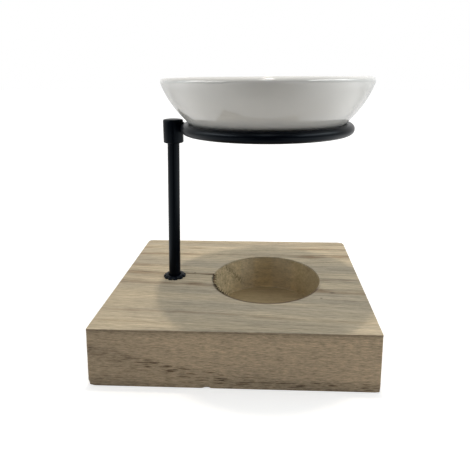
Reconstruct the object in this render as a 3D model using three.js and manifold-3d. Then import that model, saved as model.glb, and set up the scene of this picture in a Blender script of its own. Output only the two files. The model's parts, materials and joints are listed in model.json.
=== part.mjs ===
// An oil burner for a tealight. A wooden block holds the candle in a round recess and carries a post.
// A ring swings on the post over the candle, and a glazed bowl for water and oil rests in the ring.
import * as THREE from 'three';
import { mergeVertices } from 'three/addons/utils/BufferGeometryUtils.js';
import Module from 'manifold-3d';

const wasm = await Module();
wasm.setup();

// Driving dimensions, in millimetres. The origin is the middle of the block's underside.
const CLEARANCE = 0.3; // between a piece and the hole or notch that it sits in

const BLOCK_WIDTH = 100;
const BLOCK_DEPTH = 86;
const BLOCK_THICKNESS = 21.5;
const BLOCK_CORNER = 0.5; // radius of the upright corners
const BLOCK_EDGE = 0.25; // rounding of the long edges
const RECESS_DIAMETER = 45; // a tealight is 38 to 39 across
const RECESS_DEPTH = 15.5;
const RECESS_X = 10.85; // the ring and the bowl have the same middle

const POST_DIAMETER = 4.8;
const POST_TOP = 87.05;
const POST_CHAMFER = 0.4; // at both ends
const POST_LEAN = 1.25; // degrees that the post is set out of true, towards the bowl

const FLANGE_DIAMETER = 9.4;
const FLANGE_HEIGHT = 1.1;
const FLANGE_LIP = 0.35; // the outer edge is this thick
const FLANGE_SHOULDER = 0.4; // share of the flange's width that is flat on top

const THREAD_DIAMETER = 4; // M4
const THREAD_TIP = 1.2; // height of the thread's end above the underside
const THREAD_TOP = 13;
const POCKET_DIAMETER = 14; // sinks the nut into the underside
const POCKET_DEPTH = 6.5;
const WASHER_DIAMETER = 9;
const WASHER_THICKNESS = 0.8;
const NUT_FLATS = 7;
const NUT_HEIGHT = 3.2;
const NUT_SIDES = 6;

const COLLAR_X = -26.85; // the upright axis that the ring swings about
const COLLAR_DIAMETER = 8;
const COLLAR_BOTTOM = 79.1;
const COLLAR_TOP = 88.55;
const COLLAR_EDGE = 0.6;
const COLLAR_CROWN = 0.3; // rise of the domed top

const RING_RADIUS = 31.95; // to the middle of the wire
const RING_WIRE = 4.3;
const RING_HEIGHT = 85.5;

const RIM_RADIUS = 39.95; // to the middle of the rounded rim
const RIM_ROUND = 1.35;
const RIM_HEIGHT = 103.95;
const WALL_LEAN = 12; // degrees that the wall leans outward below the rim
const WALL_HANDLE = 6.5; // how far the wall holds that lean before it curves in
const FOOT_RADIUS = 19;
const FOOT_WIDTH = 3;
const FOOT_HEIGHT = 0.8;
const BOWL_BOTTOM = 81.75;
const BELLY_HANDLE = 10.9; // how far the underside holds level before it curves up
const FLOOR_RADIUS = 17; // flat part of the floor inside the bowl
const FLOOR_THICKNESS = 3.3;

// How finely round surfaces are divided, and how far a cutter runs past the face that it cuts.
const EDGE_STEPS = 3;
const ARC_STEPS = 5;
const WALL_STEPS = 9;
const WIRE_SIDES = 12;
const RING_SIDES = 60;
const FINE_SIDES = 48;
const SMALL_SIDES = 24;
const OVERCUT = 1;

const ARM = RECESS_X - COLLAR_X;
const COLLAR_MIDDLE = (COLLAR_BOTTOM + POST_TOP) / 2; // the post's axis crosses the collar's here
const LEAN = THREE.MathUtils.degToRad(POST_LEAN);
const SWAY = Math.tan(LEAN) * (POST_TOP - COLLAR_MIDDLE); // room for the lean in an upright hole
const POST_HOLE_DIAMETER = POST_DIAMETER + 2 * CLEARANCE;
const COLLAR_BORE_DIAMETER = POST_HOLE_DIAMETER + 2 * SWAY;
const THREAD_HOLE_DIAMETER = THREAD_DIAMETER + 2 * (CLEARANCE + SWAY);

const WOOD = new THREE.MeshStandardMaterial({ color: 0xb9a582, roughness: 0.8, metalness: 0 });
const BLACK_METAL = new THREE.MeshStandardMaterial({ color: 0x16181b, roughness: 0.45, metalness: 0.2 });
const ZINC = new THREE.MeshStandardMaterial({ color: 0xb4b7ba, roughness: 0.35, metalness: 1 });
const GLAZE = new THREE.MeshStandardMaterial({ color: 0xe4e2dd, roughness: 0.12, metalness: 0 });

// A closed geometry as a solid that can be joined and cut.
function solidOf(geometry) {
  const bare = geometry.clone();
  bare.deleteAttribute('normal');
  bare.deleteAttribute('uv');
  const merged = mergeVertices(bare);
  const mesh = new wasm.Mesh({
    numProp: 3,
    vertProperties: merged.attributes.position.array,
    triVerts: new Uint32Array(merged.index.array),
  });
  return new wasm.Manifold(mesh);
}

function geometryOf(solid) {
  const { vertProperties, triVerts } = solid.getMesh();
  const geometry = new THREE.BufferGeometry();
  geometry.setAttribute('position', new THREE.BufferAttribute(vertProperties, 3));
  geometry.setIndex(new THREE.BufferAttribute(triVerts, 1));
  geometry.computeVertexNormals();
  return geometry;
}

// Turns a profile of radius and height points about the Z axis.
function turned(profile, sides) {
  return new THREE.LatheGeometry(profile, sides).rotateX(Math.PI / 2);
}

function point(radius, height) {
  return new THREE.Vector2(radius, height);
}

// Points along an arc of a profile, from one angle in degrees to another.
function arc(radius, height, round, from, to) {
  const start = THREE.MathUtils.degToRad(from);
  const end = THREE.MathUtils.degToRad(to);
  return new THREE.EllipseCurve(radius, height, round, round, start, end, end < start).getPoints(ARC_STEPS);
}

// Where the leaning post's axis is at a height.
function postX(height) {
  return COLLAR_X + Math.tan(LEAN) * (height - COLLAR_MIDDLE);
}

// Tilts a geometry about the Z axis on to the post's axis.
function leaning(geometry) {
  return geometry
    .translate(0, 0, -COLLAR_MIDDLE)
    .rotateY(LEAN)
    .translate(COLLAR_X, 0, COLLAR_MIDDLE);
}

function cylinder(diameter, bottom, top, sides) {
  const radius = diameter / 2;
  return turned([point(0, bottom), point(radius, bottom), point(radius, top), point(0, top)], sides);
}

// A flat plate with a round hole in its middle.
function drilledPlate(outline, holeDiameter, thickness) {
  const hole = new THREE.Path().absarc(0, 0, holeDiameter / 2, 0, 2 * Math.PI, true);
  outline.holes.push(hole);
  return new THREE.ExtrudeGeometry(outline, {
    depth: thickness,
    bevelEnabled: false,
    curveSegments: SMALL_SIDES,
  });
}

// The wooden block: rounded edges, candle recess, post hole and a pocket for the nut underneath.
function blockGeometry() {
  const x = BLOCK_WIDTH / 2 - BLOCK_EDGE;
  const y = BLOCK_DEPTH / 2 - BLOCK_EDGE;
  const corner = BLOCK_CORNER - BLOCK_EDGE;
  const quarter = Math.PI / 2;
  const outline = new THREE.Shape();
  outline.absarc(x - corner, y - corner, corner, 0, quarter);
  outline.absarc(corner - x, y - corner, corner, quarter, 2 * quarter);
  outline.absarc(corner - x, corner - y, corner, 2 * quarter, 3 * quarter);
  outline.absarc(x - corner, corner - y, corner, 3 * quarter, 4 * quarter);
  const blank = new THREE.ExtrudeGeometry(outline, {
    depth: BLOCK_THICKNESS - 2 * BLOCK_EDGE,
    bevelThickness: BLOCK_EDGE,
    bevelSize: BLOCK_EDGE,
    bevelSegments: EDGE_STEPS,
    curveSegments: EDGE_STEPS,
  }).translate(0, 0, BLOCK_EDGE);
  const above = BLOCK_THICKNESS + OVERCUT;
  const recessFloor = BLOCK_THICKNESS - RECESS_DEPTH;
  const recess = cylinder(RECESS_DIAMETER, recessFloor, above, FINE_SIDES).translate(RECESS_X, 0, 0);
  const postHole = leaning(cylinder(POST_HOLE_DIAMETER, -OVERCUT, above, SMALL_SIDES));
  const pocket = cylinder(POCKET_DIAMETER, -OVERCUT, POCKET_DEPTH, SMALL_SIDES);
  pocket.translate(postX(POCKET_DEPTH), 0, 0);
  return geometryOf(
    solidOf(blank).subtract(solidOf(recess)).subtract(solidOf(postHole)).subtract(solidOf(pocket)),
  );
}

// The post: a rod with a thread turned on its lower end and both ends chamfered.
function postGeometry() {
  const rod = POST_DIAMETER / 2;
  const thread = THREAD_DIAMETER / 2;
  const upright = turned([
    point(0, THREAD_TIP),
    point(thread - POST_CHAMFER, THREAD_TIP),
    point(thread, THREAD_TIP + POST_CHAMFER),
    point(thread, THREAD_TOP),
    point(rod, THREAD_TOP),
    point(rod, POST_TOP - POST_CHAMFER),
    point(rod - POST_CHAMFER, POST_TOP),
    point(0, POST_TOP),
  ], SMALL_SIDES);
  return leaning(upright);
}

// The flange round the post's foot, a low cone with a thin lip, which stands on the block.
function flangeGeometry() {
  const bore = POST_HOLE_DIAMETER / 2;
  const edge = FLANGE_DIAMETER / 2;
  const shoulder = bore + (edge - bore) * FLANGE_SHOULDER;
  return turned([
    point(bore, BLOCK_THICKNESS),
    point(edge, BLOCK_THICKNESS),
    point(edge, BLOCK_THICKNESS + FLANGE_LIP),
    point(shoulder, BLOCK_THICKNESS + FLANGE_HEIGHT),
    point(bore, BLOCK_THICKNESS + FLANGE_HEIGHT),
    point(bore, BLOCK_THICKNESS),
  ], SMALL_SIDES);
}

function washerGeometry() {
  const outline = new THREE.Shape().absarc(0, 0, WASHER_DIAMETER / 2, 0, 2 * Math.PI);
  return drilledPlate(outline, THREAD_HOLE_DIAMETER, WASHER_THICKNESS);
}

function nutGeometry() {
  const cornerRadius = NUT_FLATS / 2 / Math.cos(Math.PI / NUT_SIDES);
  const corners = [];
  for (let side = 0; side < NUT_SIDES; side += 1) {
    const angle = side * 2 * Math.PI / NUT_SIDES;
    corners.push(new THREE.Vector2(cornerRadius * Math.cos(angle), cornerRadius * Math.sin(angle)));
  }
  return drilledPlate(new THREE.Shape(corners), THREAD_HOLE_DIAMETER, NUT_HEIGHT);
}

// The ring's wire with its surface moved out by a margin.
function ringGeometry(margin) {
  return new THREE.TorusGeometry(RING_RADIUS, RING_WIRE / 2 + margin, WIRE_SIDES, RING_SIDES);
}

// The collar: a capped sleeve over the post's top, notched on one side where the ring is brazed on.
function collarGeometry() {
  const bore = COLLAR_BORE_DIAMETER / 2;
  const boreTop = POST_TOP + CLEARANCE + SWAY;
  const outside = COLLAR_DIAMETER / 2;
  const corner = outside - COLLAR_EDGE;
  const sleeve = turned([
    point(0, boreTop),
    point(bore, boreTop),
    point(bore, COLLAR_BOTTOM),
    ...arc(corner, COLLAR_BOTTOM + COLLAR_EDGE, COLLAR_EDGE, -90, 0),
    ...arc(corner, COLLAR_TOP - COLLAR_EDGE, COLLAR_EDGE, 0, 90),
    point(0, COLLAR_TOP + COLLAR_CROWN),
  ], SMALL_SIDES);
  const notch = ringGeometry(CLEARANCE).translate(ARM, 0, RING_HEIGHT);
  return geometryOf(solidOf(sleeve).subtract(solidOf(notch)));
}

// The bowl: a foot ring, a wall that swells out to a rounded rim, and a flat floor inside.
function bowlGeometry() {
  const belly = BOWL_BOTTOM + FOOT_HEIGHT;
  const floor = belly + FLOOR_THICKNESS;
  const footInside = FOOT_RADIUS - FOOT_WIDTH;
  const lean = THREE.MathUtils.degToRad(WALL_LEAN);
  const rim = arc(RIM_RADIUS, RIM_HEIGHT, RIM_ROUND, -WALL_LEAN, 180 + WALL_LEAN);
  const rimOutside = rim[0];
  const rimInside = rim[rim.length - 1];
  const drop = point(-Math.sin(lean), -Math.cos(lean)).multiplyScalar(WALL_HANDLE);
  const outerWall = new THREE.CubicBezierCurve(
    point(FOOT_RADIUS, belly),
    point(FOOT_RADIUS + BELLY_HANDLE, belly),
    rimOutside.clone().add(drop),
    rimOutside,
  );
  const innerWall = new THREE.CubicBezierCurve(
    rimInside,
    rimInside.clone().add(drop),
    point(FLOOR_RADIUS + BELLY_HANDLE, floor),
    point(FLOOR_RADIUS, floor),
  );
  return turned([
    point(0, belly),
    point(footInside, belly),
    point(footInside, BOWL_BOTTOM),
    point(FOOT_RADIUS, BOWL_BOTTOM),
    ...outerWall.getPoints(WALL_STEPS),
    ...rim.slice(1, -1),
    ...innerWall.getPoints(WALL_STEPS),
    point(0, floor),
  ], FINE_SIDES);
}

function piece(name, geometry, material) {
  const mesh = new THREE.Mesh(geometry, material);
  mesh.name = name;
  return mesh;
}

const flange = piece('foot_flange', flangeGeometry(), BLACK_METAL);
flange.position.x = postX(BLOCK_THICKNESS);
const washer = piece('base_washer', washerGeometry(), ZINC);
washer.position.z = POCKET_DEPTH - WASHER_THICKNESS;
washer.position.x = postX(washer.position.z);
const nut = piece('base_nut', nutGeometry(), ZINC);
nut.position.z = washer.position.z - NUT_HEIGHT;
nut.position.x = postX(nut.position.z + NUT_HEIGHT / 2);

const stand = new THREE.Group();
stand.add(
  piece('base_block', blockGeometry(), WOOD),
  piece('post', postGeometry(), BLACK_METAL),
  flange,
  washer,
  nut,
);

const supportRing = piece('support_ring', ringGeometry(0), BLACK_METAL);
supportRing.position.set(ARM, 0, RING_HEIGHT);
const bowl = piece('bowl', bowlGeometry(), GLAZE);
bowl.position.x = ARM;
const ringArm = new THREE.Group();
ringArm.position.x = COLLAR_X;
ringArm.add(piece('collar', collarGeometry(), BLACK_METAL), supportRing, bowl);

const burner = new THREE.Group();
burner.name = 'oil_burner';
burner.add(stand, ringArm);

export default burner;
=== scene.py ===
import json
import math
import random
from types import SimpleNamespace

import bmesh
import bpy
import numpy as np
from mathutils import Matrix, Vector, noise


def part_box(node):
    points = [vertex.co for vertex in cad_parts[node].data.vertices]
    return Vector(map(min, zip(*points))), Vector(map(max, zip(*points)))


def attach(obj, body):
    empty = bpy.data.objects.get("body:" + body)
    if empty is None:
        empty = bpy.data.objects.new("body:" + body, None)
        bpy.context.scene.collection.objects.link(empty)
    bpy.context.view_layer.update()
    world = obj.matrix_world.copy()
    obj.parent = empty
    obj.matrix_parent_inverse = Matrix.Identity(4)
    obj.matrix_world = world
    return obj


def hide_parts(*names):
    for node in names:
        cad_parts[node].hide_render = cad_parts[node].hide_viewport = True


# The looks of an oil burner: a pale wooden block with a recess for a tealight, a black post with a
# swinging ring, and a glazed bowl that rests in the ring.
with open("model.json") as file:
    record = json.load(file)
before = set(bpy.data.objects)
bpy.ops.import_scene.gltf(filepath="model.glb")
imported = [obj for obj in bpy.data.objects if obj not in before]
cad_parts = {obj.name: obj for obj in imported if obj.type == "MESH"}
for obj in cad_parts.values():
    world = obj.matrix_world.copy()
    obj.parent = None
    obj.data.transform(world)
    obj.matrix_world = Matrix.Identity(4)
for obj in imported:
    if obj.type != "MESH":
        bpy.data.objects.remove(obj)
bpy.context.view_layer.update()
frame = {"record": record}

# Shapes are worked out in millimetres, in the frame's own axes, and made in metres.
MM = 0.001


def corners(node):
    """The lowest and highest corner of a CAD node, in millimetres."""
    low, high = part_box(node)
    return np.array(low) / MM, np.array(high) / MM


_, BLOCK_HIGH = corners("base_block")
POST_LOW, POST_HIGH = corners("post")
FLANGE_LOW, FLANGE_HIGH = corners("foot_flange")
WASHER_LOW, WASHER_HIGH = corners("base_washer")
NUT_LOW, NUT_HIGH = corners("base_nut")
COLLAR_LOW, COLLAR_HIGH = corners("collar")
RING_LOW, RING_HIGH = corners("support_ring")
BOWL_LOW, BOWL_HIGH = corners("bowl")

MOUNTS = {mount["name"]: np.array(mount["pos_m"]) / MM for mount in frame["record"]["mounts"]}
SEAT = MOUNTS["tealight_seat"]
BOWL_X = (BOWL_LOW[0] + BOWL_HIGH[0]) / 2
HALF_WIDTH = BLOCK_HIGH[0]
HALF_DEPTH = BLOCK_HIGH[1]
BLOCK_TOP = BLOCK_HIGH[2]
RECESS_RADIUS = 22.5
CLEARANCE = 0.3
POST_RADIUS = (POST_HIGH[1] - POST_LOW[1]) / 2
BORE_RADIUS = POST_RADIUS + CLEARANCE
WIRE_RADIUS = (RING_HIGH[2] - RING_LOW[2]) / 2
RING_RADIUS = (RING_HIGH[1] - RING_LOW[1]) / 2 - WIRE_RADIUS
RING_Z = (RING_HIGH[2] + RING_LOW[2]) / 2
COLLAR_RADIUS = (COLLAR_HIGH[1] - COLLAR_LOW[1]) / 2
COLLAR_X = COLLAR_LOW[0] + COLLAR_RADIUS
FLANGE_X = (FLANGE_LOW[0] + FLANGE_HIGH[0]) / 2
WASHER_X = (WASHER_LOW[0] + WASHER_HIGH[0]) / 2
NUT_X = (NUT_LOW[0] + NUT_HIGH[0]) / 2

# The post leans a little towards the bowl: it goes through the middles of its flange and of the collar.
COLLAR_MIDDLE = (COLLAR_LOW[2] + POST_HIGH[2]) / 2
POST_SLOPE = (COLLAR_X - FLANGE_X) / (COLLAR_MIDDLE - BLOCK_TOP)
SWAY = POST_SLOPE * (POST_HIGH[2] - COLLAR_MIDDLE)


def post_x(height):
    return COLLAR_X + POST_SLOPE * (height - COLLAR_MIDDLE)


# The photograph's camera, fitted to the block's corners, the recess, the post, the ring and the rim.
IMAGE_SIDE = 470
CENTRE_PIXEL = (250, 165)
FOCAL_PIXELS = 460.36
SENSOR = 36
CAMERA_PLACE = (11.15, -183.09, 105.89)
CAMERA_TURN = 2.23
CAMERA_PITCH = 11.06


def make_camera():
    data = bpy.data.cameras.new("camera")
    data.sensor_width = SENSOR
    data.lens = FOCAL_PIXELS / IMAGE_SIDE * SENSOR
    data.shift_x = (IMAGE_SIDE / 2 - CENTRE_PIXEL[0]) / IMAGE_SIDE
    data.shift_y = (CENTRE_PIXEL[1] - IMAGE_SIDE / 2) / IMAGE_SIDE
    data.clip_start = 0.01
    camera = bpy.data.objects.new("camera", data)
    camera.location = Vector(CAMERA_PLACE) * MM
    camera.rotation_euler = np.radians((90 - CAMERA_PITCH, 0, CAMERA_TURN))
    bpy.context.collection.objects.link(camera)
    bpy.context.scene.camera = camera


make_camera()
bpy.context.scene.view_settings.view_transform = "Standard"


# Node trees

class Value:
    """A number that varies over a surface, which can be used in sums."""

    def __init__(self, graph, socket):
        self.graph = graph
        self.socket = socket

    def __add__(self, other):
        return self.graph.math("ADD", self, other)

    def __sub__(self, other):
        return self.graph.math("SUBTRACT", self, other)

    def __rsub__(self, other):
        return self.graph.math("SUBTRACT", other, self)

    def __mul__(self, other):
        return self.graph.math("MULTIPLY", self, other)

    def __abs__(self):
        return self.graph.math("ABSOLUTE", self)

    __radd__ = __add__
    __rmul__ = __mul__

    def rise(self, low, high):
        """0 below low, 1 above high, and smooth in between."""
        ends = {"Value": self, "From Min": low, "From Max": high}
        made = self.graph.node("MapRange", ends, interpolation_type="SMOOTHSTEP")
        return Value(self.graph, made["Result"])

    def fall(self, low, high):
        """1 below low, 0 above high, and smooth in between."""
        return 1 - self.rise(low, high)


class Graph:
    """A node tree, with short calls for its nodes."""

    def __init__(self, tree):
        self.tree = tree

    def feed(self, node, inputs):
        """Links values and sockets to a node's inputs, or sets constants on them."""
        for name, value in inputs.items():
            if isinstance(value, Value):
                value = value.socket
            if isinstance(value, bpy.types.NodeSocket):
                self.tree.links.new(value, node.inputs[name])
            else:
                node.inputs[name].default_value = value

    def node(self, kind, inputs, **settings):
        """The outputs of a new node."""
        made = self.tree.nodes.new("ShaderNode" + kind)
        for name, setting in settings.items():
            setattr(made, name, setting)
        self.feed(made, inputs)
        return made.outputs

    def math(self, operation, *values):
        return Value(self, self.node("Math", dict(enumerate(values)), operation=operation)[0])

    def vector(self, *numbers):
        return self.node("CombineXYZ", dict(enumerate(numbers)))[0]

    def length(self, x, y):
        flat = {0: self.vector(x, y, 0.0)}
        return Value(self, self.node("VectorMath", flat, operation="LENGTH")["Value"])

    def texture(self, kind, point, scale, **inputs):
        """A texture at a point of three numbers, with one scale or with one for each of them."""
        scales = scale if isinstance(scale, tuple) else (scale, scale, scale)
        vector = self.vector(*(number * factor for number, factor in zip(point, scales)))
        return Value(self, self.node(kind, {"Vector": vector, "Scale": 1, **inputs})[0])

    def noise(self, point, scale, detail=2.0, roughness=0.5):
        """Smooth noise about 0.5."""
        return self.texture("TexNoise", point, scale, Detail=detail, Roughness=roughness)

    def cells(self, point, scale):
        """Distance to the nearest of a set of scattered points, about one to a unit cube."""
        return self.texture("TexVoronoi", point, scale)

    def mix(self, share, first, second):
        return self.node("Mix", {0: share, 6: first, 7: second}, data_type="RGBA")[2]

    def scale(self, colour, factor):
        return self.node("VectorMath", {0: colour, "Scale": factor}, operation="SCALE")[0]

    def bump(self, height, strength, depth):
        """A normal bent by a relief, whose depth is in millimetres."""
        inputs = {"Strength": strength, "Distance": depth * MM, "Height": height}
        return self.node("Bump", inputs)[0]

    def split(self, vector):
        return [Value(self, socket) for socket in self.node("SeparateXYZ", {0: vector})]

    def place(self):
        """The point on the surface, in millimetres in the frame's axes."""
        return self.split(self.scale(self.node("TexCoord", {})["Object"], 1 / MM))

    def facing(self):
        """The surface's normal as three numbers."""
        return self.split(self.node("TexCoord", {})["Normal"])

    def seen(self):
        """1 for rays from the camera, from a gloss or through glass, and 0 for light that spreads."""
        path = self.node("LightPath", {})
        bounced = self.math("MAXIMUM", path["Is Glossy Ray"], path["Is Transmission Ray"])
        return self.math("MAXIMUM", path["Is Camera Ray"], bounced)


def make_material(name, describe):
    """A material whose shader's inputs are what describe(graph) returns."""
    material = bpy.data.materials.new(name)
    material.use_nodes = True
    graph = Graph(material.node_tree)
    graph.feed(material.node_tree.nodes["Principled BSDF"], describe(graph))
    return material


# Wood

CREAM = (0.572, 0.482, 0.340, 1)
BEIGE = (0.450, 0.388, 0.290, 1)
BROWN = (0.270, 0.185, 0.110, 1)
# The sawn sides' browner colour, painted lighter to make up for the shade on the front.
SAWN_PAINTED_LIGHTER = (0.598, 0.452, 0.292, 1)
# The routed recess, painted darker and browner: its surface, and partly painted shade and bounced light in
# the recess.
ROUTED_AND_SHADE = (0.430, 0.345, 0.205, 1)
# A warmer brown on the recess's floor and its right wall.
RECESS_WARM_BROWN = (0.430, 0.305, 0.140, 1)
PORE = (0.200, 0.135, 0.075, 1)
SPLIT = (0.120, 0.075, 0.040, 1)
# The torn slivers are painted dark, for dirt and for the shade they hang in.
TORN_DIRT_AND_SHADE = (0.075, 0.048, 0.026, 1)
TORN_PALE = (0.230, 0.160, 0.095, 1)
WOOD_SHINE = 0.15
GRAIN_SLOPE = 0.06  # the grain runs this far to the front for each millimetre to the right
RING_TILT = 0.5  # the growth rings run this far to the back for each millimetre down
CRACK_Y = 1.3  # where the crack would cross the middle of the block
SCAR_START = 13.1  # where the scar down the recess's wall leaves the rim
SCAR_SLOPE = 0.62
BAND_TOP = 5.6  # height of the band of pores in the middle of the front
BAND_FALL = 0.12  # how it falls to the right
BAND_BEND = 0.0018  # and curves
STREAK_FADE = 6  # half the length over which a streak fades out

# Brown streaks on the top: where each starts and ends from left to right, its place across the grain,
# its width and its strength.
STREAKS = (
    (-70, -13, -8.2, 2.2, 0.50), (-70, -30, 0.2, 2.0, 0.45), (-70, -26, 9.0, 2.2, 0.30),
    (-70, -14, 24.2, 1.8, 0.40), (-14, 26, 24.6, 2.0, 0.15), (26, 70, 23.6, 2.2, 0.60),
    (-70, -18, 32.6, 1.3, 0.35), (24, 70, 32.8, 1.6, 0.40), (-70, 70, 39.5, 1.8, 0.20),
    (31, 70, 0.3, 1.2, 0.55), (26, 70, -9.8, 2.2, 0.50), (-20, 5, -9.5, 2.0, 0.25),
    (-70, 12, -31.6, 1.0, 0.30), (4, 48, -32.6, 1.0, 0.18), (-70, -20, -39.5, 0.8, 0.18),
)
# Dark spots on the top: a place and a length along the grain.
SPOTS = ((32.2, -18.0, 0.6), (37.0, -13.4, 1.4), (-20.0, 3.6, 0.6), (-49.2, 42.0, 1.2))


def wood_places(graph):
    """What the wood depends on: where the point lies on the block and in the grain, and its fibres."""
    at = SimpleNamespace(noise=graph.noise, length=graph.length)
    at.point = graph.place()
    at.x, at.y, at.z = at.point
    at.from_top = at.z - BLOCK_TOP
    at.from_front = at.y + HALF_DEPTH
    at.from_axis = at.x - SEAT[0]
    at.from_rim = graph.length(at.from_axis, at.y - SEAT[1]) - RECESS_RADIUS
    drift = graph.noise(at.point, (0.016, 0.03, 0.03), detail=3) - 0.5
    at.straight = at.y + at.x * at.y.fall(0, 30) * GRAIN_SLOPE
    at.layer = at.straight + at.from_top * RING_TILT + drift * 2.5
    at.up = at.z - at.straight * RING_TILT

    at.upright = abs(graph.facing()[2]).fall(0.4, 0.8)
    at.level = 1 - at.upright
    at.near_top = at.from_top.rise(-6, -1)
    at.recess = at.from_rim.fall(0.1, 0.5) * at.from_top.fall(-1.1, -0.1)
    at.sawn = at.upright * at.from_rim.rise(3, 6)
    at.front = at.sawn * at.from_front.fall(0.5, 1.5)

    at.streak = graph.noise((at.x, at.layer, at.up), (0.03, 1.2, 0.6), detail=4, roughness=0.62)
    at.fibre = graph.noise((at.x, at.straight, at.z), (0.15, 2.6, 2.2), detail=3, roughness=0.72)
    at.fuzz = graph.noise(at.point, (0.42, 2.4, 2.8), detail=3, roughness=0.72)
    at.ragged = graph.noise(at.point, (1.6, 1.6, 0.8))
    at.wobble = graph.noise((at.x, 9.1, 2.3), (0.25, 1, 1)) - 0.5
    return at


def wood_streaks(at):
    """Brown streaks on the top, fainter here and there."""
    whole = at.noise((at.x, at.straight, 4.7), (0.07, 0.25, 1)).rise(0.34, 0.6) * 1.2 + 0.35
    wander = (at.streak - 0.5) * 2.6
    streaks = 0
    for start, end, place, width, strength in STREAKS:
        near = abs(at.layer - place + wander).fall(width * 0.1, width * 1.3)
        begun = at.x.rise(start - STREAK_FADE, start + STREAK_FADE)
        going_on = at.x.fall(end - STREAK_FADE, end + STREAK_FADE)
        streaks = near * begun * going_on * whole * strength + streaks
    return streaks


def front_pores(at):
    """A band along the front that falls to the right, and dashes of pores, mostly in the band."""
    below_band = BAND_TOP - at.x * BAND_FALL + at.x * at.x * BAND_BEND - at.z
    band = below_band.rise(-0.6, 0.8) * below_band.fall(2.5, 6.0) * at.front
    low_left = at.x.fall(-25, 25) * at.z.fall(5, 11) * at.front
    pores = at.noise(at.point, (0.16, 2.0, 2.1), roughness=0.6).rise(0.54, 0.6)
    return band, pores * (band * 0.9 + low_left * 0.3 + at.front * 0.05)


def wood_crack(at):
    """The crack from the post's flange to the recess."""
    gap = abs(at.straight - CRACK_Y + at.wobble * 1.1)
    stretch = (at.x - FLANGE_X).rise(1, 5) * at.from_axis.fall(-20, -18)
    deeper = at.from_axis.rise(-29, -23) * 0.35 + 0.45
    return gap.fall(0.3, 1.5) * at.near_top * stretch * deeper


def wood_spots(at):
    spots = 0
    for place_x, place_y, length in SPOTS:
        gap = at.length((at.x - place_x) * (0.5 / length), at.y - place_y)
        spots = gap.fall(0.15, 0.65) + spots
    return spots * at.near_top


def recess_marks_and_shade(at):
    """A factor about 1: the torn rim on the left painted dark, for its torn fibres and the painted shade in
    its chips, a scar down the wall and specks.
    """
    jagged = at.ragged - 0.5
    splinter = at.noise((at.x, at.y, 1.3), (0.9, 2.6, 1)) - 0.4
    # The torn rim: dark fibres, and painted shade in its chips and undercut.
    torn = (at.from_rim - splinter * 2.0).fall(0, 0.4) * (at.from_top + jagged * 5).rise(-1.6, -0.9)
    torn = torn * at.near_top * at.from_axis.fall(-15, -13) * at.y.fall(2.2, 3.0)
    scar = abs(at.y - SCAR_START + at.from_top * SCAR_SLOPE + jagged * 6).fall(0.2, 1.6)
    scar = scar * at.recess * at.x.fall(-2, 2) * at.ragged.rise(0.4, 0.55)
    speck = at.noise(at.point, (0.9, 0.7, 1.1)).rise(0.58, 0.68) * at.recess * at.x.fall(-7, -1)
    return (1 - torn * 0.78) * (1 - scar * 0.5) * (1 - speck * 0.35)


def wood_colour(graph, at, streaks, pores, crack):
    """The wood's colours, laid one over the other."""
    # A dark line along the front half of the recess's rim.
    dark_rim_line = abs(at.from_rim - 0.2).fall(0.3, 1.0) * at.near_top * at.y.fall(-14, -4)
    side_grain = abs(at.x - 2).fall(2, 4) + abs(at.x - 18).fall(3, 6)
    side_grain = side_grain * at.recess * at.upright * at.y.rise(10, 16)
    warmer_recess = at.recess * (1 - at.upright * at.from_axis.fall(6, 16))
    broad = graph.noise((at.x, at.layer, at.up), (0.012, 0.13, 0.06))
    colour = graph.mix(broad.rise(0.36, 0.64), CREAM, BEIGE)
    for share, over in (
        (at.sawn * 0.8, SAWN_PAINTED_LIGHTER),
        (at.recess * 0.8, ROUTED_AND_SHADE),
        (streaks * (1 - at.recess * 0.7), BROWN),
        (pores * 0.85, PORE),
        (crack, SPLIT),
        (dark_rim_line * 0.9, SPLIT),
        (side_grain * 0.4, BEIGE),
        (warmer_recess * 0.35, RECESS_WARM_BROWN),
    ):
        colour = graph.mix(share, colour, over)
    return colour


def wood_tone(at):
    """How light the wood is from fibre to fibre, about 1, with painted light on the recess's walls."""
    calm = 1 - at.recess * 0.5
    plain = at.y.fall(-30, -8) * at.level
    blotch = at.noise(at.point, (0.28, 0.28, 0.45), detail=3, roughness=0.6) - 0.5
    torn_wall = at.noise(at.point, (0.8, 0.8, 0.55), detail=3, roughness=0.7) - 0.5
    tone = 1 + (at.streak - 0.5) * calm * (1.1 - at.front * 0.6 - plain * 0.35)
    tone = tone + (at.fibre - 0.5) * calm * (1.3 - at.front * 0.7)
    tone = tone + (at.fuzz - 0.5) * (at.sawn * 1.25 + 0.55)
    # The recess's walls are painted lighter, to make up for the shade on them.
    tone = tone + (blotch * 0.8 + 0.13) * at.recess * at.upright
    return tone + torn_wall * 1.3 * at.recess * at.x.fall(-8, 0)


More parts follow.
